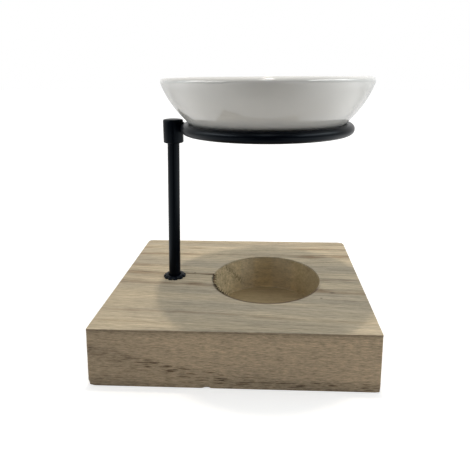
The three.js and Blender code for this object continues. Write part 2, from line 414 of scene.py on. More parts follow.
def wood_painted_shade(at):
    """How light the block is from part to part, about 1: painted light on the recess's back wall, painted
    shade on its right wall and on the front of its floor, painted shade and dirt at the foot, a painted
    shadow at the front of the top and under the front's top edge, and darker to the left.
    """
    left_top = at.level * at.y.fall(0, 40)
    shadow_under_edge = (at.from_top + at.wobble * 0.8).rise(-1.1, -0.6)
    # Painted light on the recess's back wall, painted shade on its right wall.
    wall = at.y.rise(4, 20) * 0.3 - at.from_axis.rise(4, 18) * 0.25
    shade = 1 + at.recess * at.upright * wall
    for darker in (
        # Darker at the foot: painted contact shadow, and dirt.
        at.z.fall(0, 5) * at.sawn * 0.14,
        # Darker to the left, on the front and on the top's left.
        at.x.fall(-50, -10) * (at.front * 0.2 + left_top * 0.13),
        # Painted shade on the front of the recess's floor.
        at.recess * at.level * at.y.fall(-20, -6) * 0.22,
        # Painted shadow of the bowl at the front of the top.
        at.from_front.fall(3, 13) * abs(at.x - 5).fall(20, 45) * at.level * 0.14,
        # Darker in a band below the front's top edge.
        at.from_top.rise(-3.2, -1.0) * at.front * 0.14,
        # A painted shadow line under the front's top edge.
        shadow_under_edge * at.front * 0.28,
    ):
        shade = shade * (1 - darker)
    return shade


def wood(graph):
    at = wood_places(graph)
    band, pores = front_pores(at)
    crack = wood_crack(at)
    spots = wood_spots(at)
    colour = wood_colour(graph, at, wood_streaks(at), pores, crack)
    marks_and_shade = (1 - pores * 0.1) * (1 - band * 0.1) * (1 - spots * 0.5) * recess_marks_and_shade(at)
    relief = at.streak * 0.4 + at.fibre * 0.6 + at.fuzz * (at.sawn * 0.4 + 0.1)
    relief = relief - pores * 0.6 - crack - spots * 0.5
    return {
        "Base Color": graph.scale(colour, wood_tone(at) * wood_painted_shade(at) * marks_and_shade),
        "Roughness": 0.72 + at.fibre * 0.2,
        "Specular IOR Level": WOOD_SHINE,
        "Normal": graph.bump(relief, 0.5, 0.25),
    }


def torn_wood(graph):
    fibre = graph.noise(graph.place(), (0.5, 3, 3), detail=3, roughness=0.7)
    return {
        "Base Color": graph.mix(fibre.rise(0.35, 0.65), TORN_DIRT_AND_SHADE, TORN_PALE),
        "Roughness": 0.75 + fibre * 0.2,
        "Specular IOR Level": WOOD_SHINE,
        "Normal": graph.bump(fibre, 0.4, 0.1),
    }


# Metal and ceramic

COAT_BLACK = (0.0007, 0.0015, 0.0038, 1)
COAT_CLOUD = (0.0016, 0.0028, 0.0060, 1)
COAT_SCUFF = (0.0040, 0.0052, 0.0072, 1)
COAT_TINT = (0.80, 0.93, 1, 1)
COAT_SHINE = 0.07
ZINC_DULL = (0.52, 0.54, 0.56, 1)
ZINC_BRIGHT = (0.68, 0.68, 0.66, 1)
GLAZE_WHITE = (0.80, 0.795, 0.765, 1)
GLAZE_CLOUD = (0.77, 0.76, 0.725, 1)
GLAZE_RIM_PAINTED_LIGHT = (0.88, 0.875, 0.85, 1)
GLAZE_SIDES_PAINTED_LIGHT = (0.95, 0.945, 0.92, 1)
GLAZE_PIT = (0.42, 0.37, 0.30, 1)
CLAY_DARK = (0.66, 0.60, 0.50, 1)
CLAY_PALE = (0.74, 0.69, 0.60, 1)


def black_metal(graph):
    point = graph.place()
    cloud = graph.noise(point, 0.12, detail=3)
    scuff = graph.noise(point, (0.7, 0.7, 0.25), detail=4, roughness=0.7).rise(0.6, 0.75)
    return {
        "Base Color": graph.mix(scuff * 0.5, graph.mix(cloud, COAT_BLACK, COAT_CLOUD), COAT_SCUFF),
        "Roughness": 0.25 + cloud * 0.08 + scuff * 0.1,
        "Specular Tint": COAT_TINT,
        "Specular IOR Level": COAT_SHINE,
        "Normal": graph.bump(graph.noise(point, 1.7), 0.12, 0.12),
    }


def zinc(graph):
    point = graph.place()
    fine = graph.noise(point, 6)
    return {
        "Base Color": graph.mix(graph.noise(point, 0.5, detail=3), ZINC_DULL, ZINC_BRIGHT),
        "Metallic": 1,
        "Roughness": 0.24 + fine * 0.2,
        "Normal": graph.bump(fine, 0.1, 0.05),
    }


def glaze(graph):
    """White with faint clouds and pits, with painted light on the rim, more to the right, and under the rim
    at both sides.
    """
    point = graph.place()
    across = point[0] - BOWL_X
    height = point[2] - BOWL_HIGH[2]
    cloud = graph.noise(point, (0.05, 0.05, 0.08), detail=3)
    ripple = graph.noise(point, (0.22, 0.22, 0.3))
    pits = graph.cells(point, 0.24).fall(0.02, 0.045)
    # Painted light on the rim, more to the right.
    rim = height.rise(-2.2, -0.6) * (across.rise(-25, 5) * 0.75 + 0.25)
    # Painted light just under the rim at both sides, except at its top left.
    sides = height.rise(-5.0, -1.4) * abs(across).rise(16, 31)
    top_left = height.rise(-1.9, -0.9) * across.fall(-20, 0)
    white = graph.mix(cloud, GLAZE_WHITE, GLAZE_CLOUD)
    white = graph.mix(rim, white, GLAZE_RIM_PAINTED_LIGHT)
    white = graph.mix(sides * (1 - top_left), white, GLAZE_SIDES_PAINTED_LIGHT)
    return {
        "Base Color": graph.mix(pits * 0.5, white, GLAZE_PIT),
        "Roughness": 0.05 + cloud * 0.03,
        "Normal": graph.bump(ripple - pits * 0.2, 0.06, 0.4),
    }


def bare_clay(graph):
    grit = graph.noise(graph.place(), 3, detail=3, roughness=0.7)
    return {
        "Base Color": graph.mix(grit, CLAY_DARK, CLAY_PALE),
        "Roughness": 0.8 + grit * 0.15,
        "Normal": graph.bump(grit, 0.3, 0.1),
    }


WOOD = make_material("pale_wood", wood)
TORN_WOOD = make_material("torn_wood", torn_wood)
BLACK_METAL = make_material("black_powder_coat", black_metal)
ZINC = make_material("zinc_plating", zinc)
GLAZE = make_material("white_glaze", glaze)
BISQUE = make_material("bare_foot", bare_clay)


# Meshes

def skin(rows, closed=False):
    """The points and faces of a surface through rows of points; a row of one point ends it in a fan."""
    points = np.concatenate(rows)
    starts = np.cumsum([0] + [len(row) for row in rows])
    faces = []
    for first in range(len(rows) if closed else len(rows) - 1):
        second = (first + 1) % len(rows)
        start, end = starts[first], starts[second]
        count = max(len(rows[first]), len(rows[second]))
        for index in range(count):
            after = (index + 1) % count
            if len(rows[first]) == 1:
                faces.append((start, end + index, end + after))
            elif len(rows[second]) == 1:
                faces.append((start + after, start + index, end))
            else:
                faces.append((start + after, start + index, end + index, end + after))
    return points, faces


def make_object(name, points, faces, materials, crease):
    """An object from points in millimetres, with its faces turned outward and sharp past an angle."""
    mesh = bpy.data.meshes.new(name)
    mesh.from_pydata((np.asarray(points) * MM).tolist(), [], [tuple(map(int, face)) for face in faces])
    shape = bmesh.new()
    shape.from_mesh(mesh)
    bmesh.ops.recalc_face_normals(shape, faces=shape.faces)
    shape.to_mesh(mesh)
    shape.free()
    for material in materials:
        mesh.materials.append(material)
    mesh.shade_smooth()
    mesh.set_sharp_from_angle(angle=math.radians(crease))
    made = bpy.data.objects.new(name, mesh)
    bpy.context.collection.objects.link(made)
    return made


def settle(piece, body, slot, *nodes):
    """The piece moves with a body and stands for CAD nodes. Its slot is not used."""
    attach(piece, body)
    if nodes:
        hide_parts(*nodes)


def make_piece(name, rows, material, body, slot, *nodes, crease=40, closed=False):
    """A piece through rows of points, settled on a body."""
    settle(make_object(name, *skin(rows, closed), [material], crease), body, slot, *nodes)


def round_angles(count):
    return np.linspace(0, 2 * math.pi, count, endpoint=False)


def turned_row(radius, height, angles, axis_x):
    """A row of points round an upright axis; a radius of nothing gives the one point on the axis."""
    if np.ndim(radius) == 0 and radius == 0:
        return np.array([[axis_x, 0, height]])
    x = axis_x + radius * np.cos(angles)
    y = radius * np.sin(angles)
    return np.column_stack([x, y, np.broadcast_to(height, x.shape)])


def turned(profile, columns, axis_x, vary=None):
    """Rows of points for a profile of radius and height turned about an axis.

    axis_x is the axis's place, or a function that gives it for a height.
    vary(radius, height, angles) may return a radius and a height for each angle."""
    angles = round_angles(columns)
    rows = []
    for radius, height in profile:
        middle = axis_x(height) if callable(axis_x) else axis_x
        if radius and vary:
            radius, height = vary(radius, height, angles)
        rows.append(turned_row(radius, height, angles, middle))
    return rows


def arc(radius, height, round_radius, start, end, steps):
    """Points of a profile along an arc about (radius, height), between two angles in degrees."""
    turn = np.radians(np.linspace(start, end, steps))
    return [(radius + round_radius * math.cos(a), height + round_radius * math.sin(a)) for a in turn]


def bezier(start, lead, trail, end, steps):
    """Points of a profile along a cubic curve, without its first point."""
    t = np.linspace(0, 1, steps + 1)[1:, None]
    weights = ((1 - t) ** 3, 3 * t * (1 - t) ** 2, 3 * t * t * (1 - t), t ** 3)
    return sum(w * np.array(p) for w, p in zip(weights, (start, lead, trail, end))).tolist()


def rough(points, scale):
    """Smooth noise from -1 to 1 at each point, with its own scale along each axis."""
    return np.array([noise.noise(Vector(point)) for point in points * np.array(scale)])


def step_up(value, low, high):
    """0 below low, 1 above high, and smooth in between."""
    share = np.clip((value - low) / (high - low), 0, 1)
    return share * share * (3 - 2 * share)


# The block

BLOCK_CORNER = 0.3
LEAST_CORNER = 0.2
BLOCK_EDGE = 0.25
WOOD_CREASE = 50
RIM_ROUND = 0.15
FLOOR_ROUND = 0.5
CUTTER_MARK = 0.035  # height of the cutter's rings on the recess's floor
CUTTER_STEP = 1.7  # and from one to the next
CRACK_ANGLE = 174.9  # where the crack meets the recess, in degrees round it
CRACK_DEPTH = 0.35  # how far it opens the recess's wall
CRACK_BITE = 0.6  # and the rim
TORN_ANGLE = 194  # the middle of the torn part of the rim
TORN_SPREAD = 36
TORN_DEPTH = 0.35
SLIVER_PLACE = (203, 17)  # middle and spread of the slivers that hang on there
SLIVER_COUNT = 110
SLIVER_ENDS = (160, 240)
SLIVER_LENGTHS = (0.7, 2.0)
SLIVER_RADII = (0.1, 0.2)
SLIVER_ROOT = 0.35  # how far into the wood they start
SLIVER_TOP = 0.2  # how far below the top the highest ones start
SLIVER_DEPTH = 1.2  # spread of the others below that
SLIVER_STRAY = 0.22  # how much they stray from the grain
SLIVER_DROOP = 0.08
RAISED_ENDS = (202, 229)  # the stretch where pale slivers stand up from the rim
RAISED_COUNT = 16
RAISED_LENGTHS = (0.8, 1.6)
RAISED_RADII = (0.1, 0.17)
RAISED_ROOT = 0.4  # how far below the top they start
POCKET_TOP = 6.5
HOLE_TOP = BLOCK_TOP + 1  # past the block
# The cutter for the pocket: a radius and a height, from below the block to the pocket's roof.
POCKET = ((0, -1), (7.8, -1), (7, 0.6), (7, POCKET_TOP))
CUTTER_COLUMNS = 64
COLUMN_STEP = 1.5  # degrees from column to column round the recess
CORNER_STEP = 0.25  # and at the block's corners
# Where else the columns are closer: from, to and step, in degrees.
FINE_COLUMNS = ((145, 172, 0.6), (172, 178, 0.15), (178, 240, 0.4), (243, 247, 0.3), (-4, 0, 0.5))

LEFT_FRONT = 0.12  # how far the left end stands out at its front
LEFT_FOOT = 0.4  # and how much further at its foot
LEAN_X = 30  # how far to the left of the middle the lean starts
LEAN_Y = 10  # and how far to the front

# Small knocks: a place in shares of the block's half-width, half-depth and height, a reach and a depth.
KNOCKS = (
    ((-1, -1, 0), 2.0, 0.5), ((-0.186, -1, 0), 1.5, 0.5), ((1, -1, 0), 1.6, 0.2),
    ((-1, 1, 1), 2.0, 0.4), ((1, 1, 1), 2.2, 0.5), ((0.6, 1, 1), 1.6, 0.25),
)


def column_angles():
    """Angles of the block's columns round the recess, in degrees, closer where there is detail."""
    angles = list(np.arange(0, 360, COLUMN_STEP))
    for start, end, step in FINE_COLUMNS:
        angles.extend(np.arange(start, end, step))
    for side in (-1, 1):
        for back in (-1, 1):
            middle = math.degrees(math.atan2(back * HALF_DEPTH, side * HALF_WIDTH - SEAT[0]))
            angles.extend(np.arange(middle - COLUMN_STEP, middle + COLUMN_STEP, CORNER_STEP))
    return np.unique(np.round(np.mod(angles, 360), 2))


def outline_reach(turn, inset):
    """How far the block's outline, drawn in by inset, lies from the recess's axis at each angle."""
    corner = np.maximum(BLOCK_CORNER - inset, LEAST_CORNER)
    half = np.array([[HALF_WIDTH], [HALF_DEPTH]]) - inset
    axis = np.array([[SEAT[0]], [0]])
    along = np.array([np.cos(turn), np.sin(turn)])
    reach = ((half - np.sign(along) * axis) / np.maximum(np.abs(along), 1e-9)).min(axis=0)
    place = axis + reach * along
    in_corner = (np.abs(place) > half - corner).all(axis=0)
    offset = axis - np.sign(place) * (half - corner)
    inward = (along * offset).sum(axis=0)
    square = inward ** 2 - ((offset ** 2).sum(axis=0) - corner ** 2)
    return np.where(in_corner, np.sqrt(np.maximum(square, 0)) - inward, reach)


def block_row(turn, reach, height):
    return turned_row(reach, height, turn, SEAT[0])


def recess_floor(turn):
    """The recess's floor, with the cutter's rings, and the round at its edge."""
    yield np.array([SEAT])
    edge = RECESS_RADIUS - FLOOR_ROUND
    for radius in np.linspace(0.8, edge, 20):
        row = block_row(turn, radius, SEAT[2])
        marks_and_shade = CUTTER_MARK * math.sin(2 * math.pi * radius / CUTTER_STEP)
        row[:, 2] += marks_and_shade + 0.03 * rough(row, (0.1, 0.8, 1))
        yield row
    for radius, height in arc(edge, SEAT[2] + FLOOR_ROUND, FLOOR_ROUND, -60, 0, 3):
        yield block_row(turn, radius, height)


def recess_wall(degrees, turn, torn, bites):
    """The recess's wall, rough where it cuts across the fibres, and its rim with the bites in it."""
    wall_top = BLOCK_TOP - RIM_ROUND
    ends = np.abs(np.cos(turn))
    crack = CRACK_DEPTH * np.exp(-((degrees - CRACK_ANGLE) / 0.45) ** 2)
    for height in np.linspace(SEAT[2] + 1, wall_top, 26):
        row = block_row(turn, RECESS_RADIUS, height)
        ragged = TORN_DEPTH * torn * step_up(height, BLOCK_TOP - 9, BLOCK_TOP - 2)
        fuzz = 0.16 * ends * rough(row, (1.1, 1.1, 1.4)) + 0.05 * rough(row, (0.3, 0.3, 0.9))
        fuzz += ragged * rough(row, (2.1, 2.1, 1.3))
        bitten = bites * step_up(height, BLOCK_TOP - 2.4, BLOCK_TOP)
        split = crack * step_up(height, BLOCK_TOP - 9, BLOCK_TOP)
        yield block_row(turn, RECESS_RADIUS + fuzz + bitten + split, height)
    for radius, height in arc(RECESS_RADIUS + RIM_ROUND, wall_top, RIM_ROUND, 160, 90, 4):
        yield block_row(turn, radius + bites, height)


def block_top(turn, bites, edge):
    """The top, with its grain in relief and the groove of the crack."""
    start = RECESS_RADIUS + RIM_ROUND + bites
    end = outline_reach(turn, edge)
    for share in np.concatenate([np.linspace(0.012, 0.1, 8), np.linspace(0.12, 1, 36)]):
        row = block_row(turn, start + (end - start) * share, BLOCK_TOP)
        relief = 0.035 * rough(row, (0.05, 1.3, 1)) + 0.02 * rough(row, (0.02, 0.2, 1))
        line = row[:, 1] + GRAIN_SLOPE * row[:, 0] - CRACK_Y - 0.25 * rough(row, (0.3, 0, 0))
        open_part = step_up(row[:, 0], FLANGE_X + 3, FLANGE_X + 7) * (row[:, 0] < SEAT[0])
        groove = (0.1 + 0.3 * (1 - share)) * np.exp(-(line / 0.25) ** 2) * open_part
        row[:, 2] += relief - groove
        yield row


def block_sides(turn, edge):
    """The worn upper edge, the sawn sides, the lower edge and the underside."""
    for angle in np.radians(np.linspace(75, 0, 6)):
        reach = outline_reach(turn, edge * (1 - math.cos(angle)))
        yield block_row(turn, reach, BLOCK_TOP - edge * (1 - math.sin(angle)))
    side_top = BLOCK_TOP - edge
    for share in np.linspace(0.04, 0.96, 18):
        height = side_top - (side_top - BLOCK_EDGE) * share
        row = block_row(turn, outline_reach(turn, 0), height)
        inward = 0.04 * (1 + rough(row, (0.06, 0.3, 0.35)))
        yield block_row(turn, outline_reach(turn, inward), height)
    for angle in np.radians(np.linspace(0, 90, 6)):
        reach = outline_reach(turn, BLOCK_EDGE * (1 - math.cos(angle)))
        yield block_row(turn, reach, BLOCK_EDGE * (1 - math.sin(angle)))
    for share in np.linspace(0.94, 0.06, 7):
        yield block_row(turn, outline_reach(turn, BLOCK_EDGE) * share, 0)
    yield np.array([[SEAT[0], SEAT[1], 0]])


def block_rows():
    """Rows round the recess, from the middle of its floor to the middle of the underside."""
    degrees = column_angles()
    turn = np.radians(degrees)
    circle = np.column_stack([np.cos(turn), np.sin(turn), np.zeros(len(turn))])
    torn = np.exp(-((degrees - TORN_ANGLE) / TORN_SPREAD) ** 4)
    at_crack = np.exp(-((degrees - CRACK_ANGLE) / 1.2) ** 2)
    teeth = np.maximum(rough(circle, (26, 26, 1)), 0) + 0.7 * np.maximum(rough(circle, (55, 55, 1)), 0)
    bites = TORN_DEPTH * torn * teeth + CRACK_BITE * at_crack + 0.05 * (1 + rough(circle, (9, 9, 1)))
    edge = BLOCK_EDGE + 0.12 * rough(circle, (14, 14, 1)) + 0.08 * rough(circle, (40, 40, 1))
    recess = [*recess_floor(turn), *recess_wall(degrees, turn, torn, bites)]
    return [*recess, *block_top(turn, bites, edge), *block_sides(turn, edge)]


def knock(points):
    """Rounds the block off where it has been knocked."""
    middle = np.array([0, 0, BLOCK_TOP / 2])
    for shares, spread, depth in KNOCKS:
        place = np.array(shares) * (HALF_WIDTH, HALF_DEPTH, BLOCK_TOP)
        inward = (middle - place) / np.linalg.norm(middle - place)
        distance = np.linalg.norm(points - place, axis=1)
        amount = depth * np.clip(1 - (distance / spread) ** 2, 0, 1)
        points += amount[:, None] * inward
    return points


def out_of_square(points):
    """Leans the left end out a little at its front, where the saw ran off."""
    left = step_up(-points[:, 0], LEAN_X, HALF_WIDTH)
    front = step_up(-points[:, 1], LEAN_Y, HALF_DEPTH)
    foot = 1 - points[:, 2] / BLOCK_TOP
    points[:, 0] -= left * front * (LEFT_FRONT + LEFT_FOOT * foot)
    return points


def make_block():
    points, faces = skin(block_rows())
    block = make_object("wood_block", out_of_square(knock(points)), faces, [WOOD], WOOD_CREASE)
    hole = ((BORE_RADIUS, POCKET_TOP), (BORE_RADIUS, HOLE_TOP), (0, HOLE_TOP))
    rows = turned(POCKET, CUTTER_COLUMNS, post_x(POCKET_TOP)) + turned(hole, CUTTER_COLUMNS, post_x)
    cutter = make_object("cutter", *skin(rows), [WOOD], WOOD_CREASE)
    cut = block.modifiers.new("post_hole", "BOOLEAN")
    cut.object = cutter
    cut.operation = "DIFFERENCE"
    cut.solver = "MANIFOLD"
    whole = block.evaluated_get(bpy.context.evaluated_depsgraph_get())
    mesh = bpy.data.meshes.new_from_object(whole)
    block.modifiers.clear()
    block.data = mesh
    mesh.shade_smooth()
    mesh.set_sharp_from_angle(angle=math.radians(WOOD_CREASE))
    bpy.data.objects.remove(cutter)
    settle(block, "stand", "wood", "base_block")


def rim_point(degrees, outward, height):
    """A point outward of the recess's edge."""
    return block_row(math.radians(degrees), RECESS_RADIUS + outward, height)[0]


def sliver(root, along, length, thick, bend):
    """The points and faces of a pointed splinter."""
    along = np.array(along) / np.linalg.norm(along)
    side = np.cross(along, (0, 0, 1))
    side /= np.linalg.norm(side)
    over = np.cross(side, along)
    square = thick * np.array([side, over, -side, -over])
    rows = [np.array([root])]
    for share, width in ((0, 1), (0.5, 0.8), (0.85, 0.4)):
        middle = root + along * length * share + over * bend * share ** 2
        rows.append(middle + width * square)
    rows.append(np.array([root + along * length + over * bend]))
    return skin(rows)


def make_splinters(name, slivers, material):
    """One object of many slivers, each given as points and faces."""
    all_points = []
    all_faces = []
    for points, faces in slivers:
        base = sum(map(len, all_points))
        all_points.append(points)
        all_faces.extend(tuple(base + corner for corner in face) for face in faces)
    splinters = make_object(name, np.concatenate(all_points), all_faces, [material], crease=60)
    settle(splinters, "stand", "wood")


def make_torn_fibres():
    """Slivers of wood that hang in the recess where the cutter tore its rim."""
    pick = random.Random(11)
    slivers = []
    for _ in range(SLIVER_COUNT):
        degrees = np.clip(pick.gauss(*SLIVER_PLACE), *SLIVER_ENDS)
        root = rim_point(degrees, SLIVER_ROOT, BLOCK_TOP - SLIVER_TOP - abs(pick.gauss(0, SLIVER_DEPTH)))
        along = (1, pick.gauss(-GRAIN_SLOPE, SLIVER_STRAY), pick.gauss(-SLIVER_DROOP, SLIVER_STRAY))
        length, thick = pick.uniform(*SLIVER_LENGTHS), pick.uniform(*SLIVER_RADII)
        slivers.append(sliver(root, along, length, thick, pick.gauss(0, 0.12)))
    make_splinters("torn_fibres", slivers, TORN_WOOD)


def make_raised_fibres():
    """Pale slivers that stand up from the torn rim."""
    pick = random.Random(5)
    first, last = RAISED_ENDS
    slivers = []
    for index in range(RAISED_COUNT):
        place = (index + pick.uniform(0.1, 0.9)) / RAISED_COUNT
        root = rim_point(first + (last - first) * place, pick.uniform(-0.1, 0.25), BLOCK_TOP - RAISED_ROOT)
        along = (pick.gauss(0.35, 0.25), pick.gauss(0.2, 0.2), 1)
        length, thick = pick.uniform(*RAISED_LENGTHS), pick.uniform(*RAISED_RADII)
        slivers.append(sliver(root, along, length, thick, pick.gauss(0, 0.1)))
    make_splinters("raised_fibres", slivers, WOOD)


make_block()
make_torn_fibres()
make_raised_fibres()


# The post and what holds it

THREAD_RADIUS = 2
THREAD_PITCH = 0.7
THREAD_STEP = THREAD_PITCH / 6  # from row to row along a thread
THREAD_DEPTH = 0.3
THREAD_ROOT = THREAD_RADIUS - THREAD_DEPTH
THREAD_TOP = 13
THREAD_START = 0.4  # height of the first turn above the post's end
THREAD_TIP = 1.45  # radius of the post's lower end
THREAD_CHAMFER = 0.15
THREAD_RELIEF = 0.1
POST_SHOULDER = 0.2
POST_CHAMFER = 0.4
FLANGE_LIP = 0.35
FLANGE_ROUND = 0.1
FLANGE_MOUTH = 0.15
FLANGE_LEAD = (-0.05, 0.1)  # bends of its slope
FLANGE_TRAIL = (-0.8, -0.1)
FLANGE_SLOPE = 1.25  # how far in from its edge the flange reaches its full height
FLANGE_TEETH = 11
FLANGE_NOTCH = 0.8
HOLE_RADIUS = THREAD_RADIUS + CLEARANCE + SWAY  # of the washer and the nut
WASHER_ROUND = 0.25
WASHER_BURR = 0.05
NUT_FLATS = 7
NUT_CHAMFER = 0.45
NUT_FACE = 0.96  # the round face as a share of the width across flats
NUT_CONE = 0.6  # what its radius gains over the chamfer
NUT_STEPS = (0, 0.1, 0.2, 0.3, 0.4, 0.5, 0.7)  # rows from a face inward
NUT_SINK = 0.35
NUT_THREAD = 0.25


def thread(height, angles):
    """How deep a thread's groove is at a height, from 0 to 1, at each angle round it."""
    phase = np.mod(height / THREAD_PITCH - angles / (2 * math.pi), 1)
    return np.abs(2 * phase - 1)


def make_post():
    def vary(radius, height, angles):
        if radius == THREAD_RADIUS:
            return radius - THREAD_DEPTH * thread(height, angles), height
        return radius, height

    bottom, top = POST_LOW[2], POST_HIGH[2]
    turns = np.arange(bottom + THREAD_START, THREAD_TOP - POST_SHOULDER, THREAD_STEP)
    plain = np.linspace(THREAD_TOP + POST_SHOULDER, top - POST_CHAMFER, 24)
    profile = [(0, bottom), (THREAD_TIP, bottom), (THREAD_ROOT, bottom + THREAD_CHAMFER)]
    profile += [(THREAD_RADIUS, z) for z in turns]
    profile += [(THREAD_ROOT, THREAD_TOP - THREAD_RELIEF), (THREAD_ROOT, THREAD_TOP)]
    profile += [(POST_RADIUS - POST_SHOULDER, THREAD_TOP)]
    profile += [(POST_RADIUS, z) for z in plain]
    profile += [(POST_RADIUS - POST_CHAMFER, top), (0, top)]
    rows = turned(profile, 48, post_x, vary)
    make_piece("post_rod", rows, BLACK_METAL, "stand", "black_metal", "post")


def make_flange():
    reach = (FLANGE_HIGH[0] - FLANGE_LOW[0]) / 2
    low, high = FLANGE_LOW[2], FLANGE_HIGH[2]
    lip = low + FLANGE_LIP

    def vary(radius, height, angles):
        outer = max(0, (radius - BORE_RADIUS) / (reach - BORE_RADIUS))
        wave = np.cos(FLANGE_TEETH * (angles + math.pi / 2))
        notch = step_up(wave, 0.1, 0.8) * (0.8 + 0.2 * np.cos(3 * angles + 2))
        return radius - FLANGE_NOTCH * outer ** 2 * notch, height

    edge = (reach, lip - FLANGE_ROUND)
    profile = [(BORE_RADIUS, low), (reach - FLANGE_ROUND, low), (reach, low + FLANGE_ROUND), edge]
    lead = np.add((reach, lip), FLANGE_LEAD)
    trail = np.add((reach, high), FLANGE_TRAIL)
    profile += bezier(edge, lead, trail, (reach - FLANGE_SLOPE, high), 8)
    profile += [(BORE_RADIUS + FLANGE_MOUTH, high), (BORE_RADIUS, high - FLANGE_MOUTH)]
    rows = turned(profile, 176, FLANGE_X, vary)
    make_piece("foot_collar", rows, BLACK_METAL, "stand", "black_metal", "foot_flange", closed=True)


def make_washer():
    reach = (WASHER_HIGH[0] - WASHER_LOW[0]) / 2
    low, high = WASHER_LOW[2], WASHER_HIGH[2]
    inner = HOLE_RADIUS + WASHER_BURR
    profile = [(HOLE_RADIUS, low + WASHER_BURR), (inner, low), (reach - WASHER_ROUND, low)]
    profile += arc(reach - WASHER_ROUND, low + WASHER_ROUND, WASHER_ROUND, -60, 0, 4)
    profile += [(reach, high - WASHER_BURR), (reach - WASHER_BURR, high)]
    profile += [(inner, high), (HOLE_RADIUS, high - WASHER_BURR)]
    rows = turned(profile, 72, WASHER_X)
    make_piece("washer", rows, ZINC, "stand", "zinc_steel", "base_washer", crease=30, closed=True)


def make_nut():
    low, high = NUT_LOW[2], NUT_HIGH[2]
    flat = NUT_FLATS / 2
    sixth = math.pi / 3

    def vary(radius, height, angles):
        if radius <= HOLE_RADIUS + NUT_SINK:
            return radius - NUT_THREAD + NUT_THREAD * thread(height, angles), height
        hexagon = flat / np.cos(np.mod(angles + sixth / 2, sixth) - sixth / 2)
        from_face = min(height - low, high - height)
        cone = flat * NUT_FACE + from_face / NUT_CHAMFER * NUT_CONE
        return np.minimum(np.minimum(hexagon, cone), radius), height

    across_corners = flat / math.cos(sixth / 2)
    heights = [low + step for step in NUT_STEPS] + [high - step for step in reversed(NUT_STEPS)]
    profile = [(across_corners, z) for z in heights]
    profile += [(HOLE_RADIUS + NUT_SINK, high), (HOLE_RADIUS, high - NUT_SINK)]
    profile += [(HOLE_RADIUS, z) for z in np.arange(high - NUT_SINK - 0.1, low + NUT_SINK, -THREAD_STEP)]
    profile += [(HOLE_RADIUS, low + NUT_SINK), (HOLE_RADIUS + NUT_SINK, low)]
    rows = turned(profile, 120, NUT_X, vary)
    make_piece("nut", rows, ZINC, "stand", "zinc_steel", "base_nut", crease=25, closed=True)


make_post()
make_flange()
make_washer()
make_nut()


# The ring and its collar

COLLAR_EDGE = 0.6
COLLAR_CROWN = 0.3
COLLAR_MOUTH = 0.3
CROWN_FLAT = 0.4  # radius of its flat top
CROWN_HANDLE = 1.5
BEAD_RADIUS = 0.75
BEAD_UNEVEN = 0.1
BEAD_LUMPS = 1.3  # to a millimetre
JOINT_LIMIT = 4.0  # further out than the joint goes
HALVINGS = 40
RING_RISE = 0.005  # upward, for each millimetre to the right


def make_collar():
    bottom = COLLAR_LOW[2]
    crown = COLLAR_HIGH[2]
    top = crown - COLLAR_CROWN
    bore = BORE_RADIUS + SWAY
    bore_top = POST_HIGH[2] + CLEARANCE
    inside = COLLAR_RADIUS - COLLAR_EDGE
    profile = [(0, bore_top), (bore, bore_top), (bore, bottom + COLLAR_MOUTH), (bore + COLLAR_MOUTH, bottom)]
    profile += arc(inside, bottom + COLLAR_EDGE, COLLAR_EDGE, -90, 0, 7)
    profile += arc(inside, top - COLLAR_EDGE, COLLAR_EDGE, 0, 75, 7)
    profile += bezier(profile[-1], (inside, top + 0.05), (CROWN_HANDLE, crown), (CROWN_FLAT, crown), 6)
    profile += [(0, crown)]
    rows = turned(profile, 72, COLLAR_X)
    make_piece("collar_sleeve", rows, BLACK_METAL, "ring_arm", "black_metal", "collar")


def make_ring():
    rows = []
    for angle in round_angles(40):
        radius = RING_RADIUS + WIRE_RADIUS * math.cos(angle)
        height = RING_Z + WIRE_RADIUS * math.sin(angle)
        row = turned_row(radius, height, round_angles(288), BOWL_X)
        row[:, 2] += RING_RISE * (row[:, 0] - BOWL_X)
        rows.append(row)
    make_piece("wire_ring", rows, BLACK_METAL, "ring_arm", "black_metal", "support_ring", crease=60,
               closed=True)


def joint_point(direction):
    """Where the collar's side and the ring's wire meet, going out from the joint's middle."""
    near, far = 0.0, JOINT_LIMIT
    for _ in range(HALVINGS):
        reach = (near + far) / 2
        y, z = reach * math.cos(direction), reach * math.sin(direction)
        inside = abs(z) < WIRE_RADIUS and abs(y) < COLLAR_RADIUS
        if inside:
            collar_x = COLLAR_X + math.sqrt(COLLAR_RADIUS ** 2 - y * y)
            outer = RING_RADIUS + math.sqrt(WIRE_RADIUS ** 2 - z * z)
            inside = collar_x > BOWL_X - math.sqrt(outer ** 2 - y * y)
        near, far = (reach, far) if inside else (near, reach)
    y, z = near * math.cos(direction), near * math.sin(direction)
    return np.array([COLLAR_X + math.sqrt(COLLAR_RADIUS ** 2 - y * y), y, RING_Z + z])


def make_braze():
    """The fillet of braze round the joint of the ring and the collar."""
    path = np.array([joint_point(direction) for direction in round_angles(72)])
    turn = round_angles(16)
    rows = []
    for index, place in enumerate(path):
        along = path[(index + 1) % len(path)] - path[index - 1]
        along /= np.linalg.norm(along)
        side = np.cross(along, (1, 0, 0))
        side /= np.linalg.norm(side)
        over = np.cross(side, along)
        size = BEAD_RADIUS * (1 + BEAD_UNEVEN * noise.noise(Vector(place * BEAD_LUMPS)))
        rows.append(place + size * (np.outer(np.cos(turn), side) + np.outer(np.sin(turn), over)))
    make_piece("braze_fillet", rows, BLACK_METAL, "ring_arm", "black_metal", crease=60, closed=True)


make_collar()
make_ring()
make_braze()


# The bowl

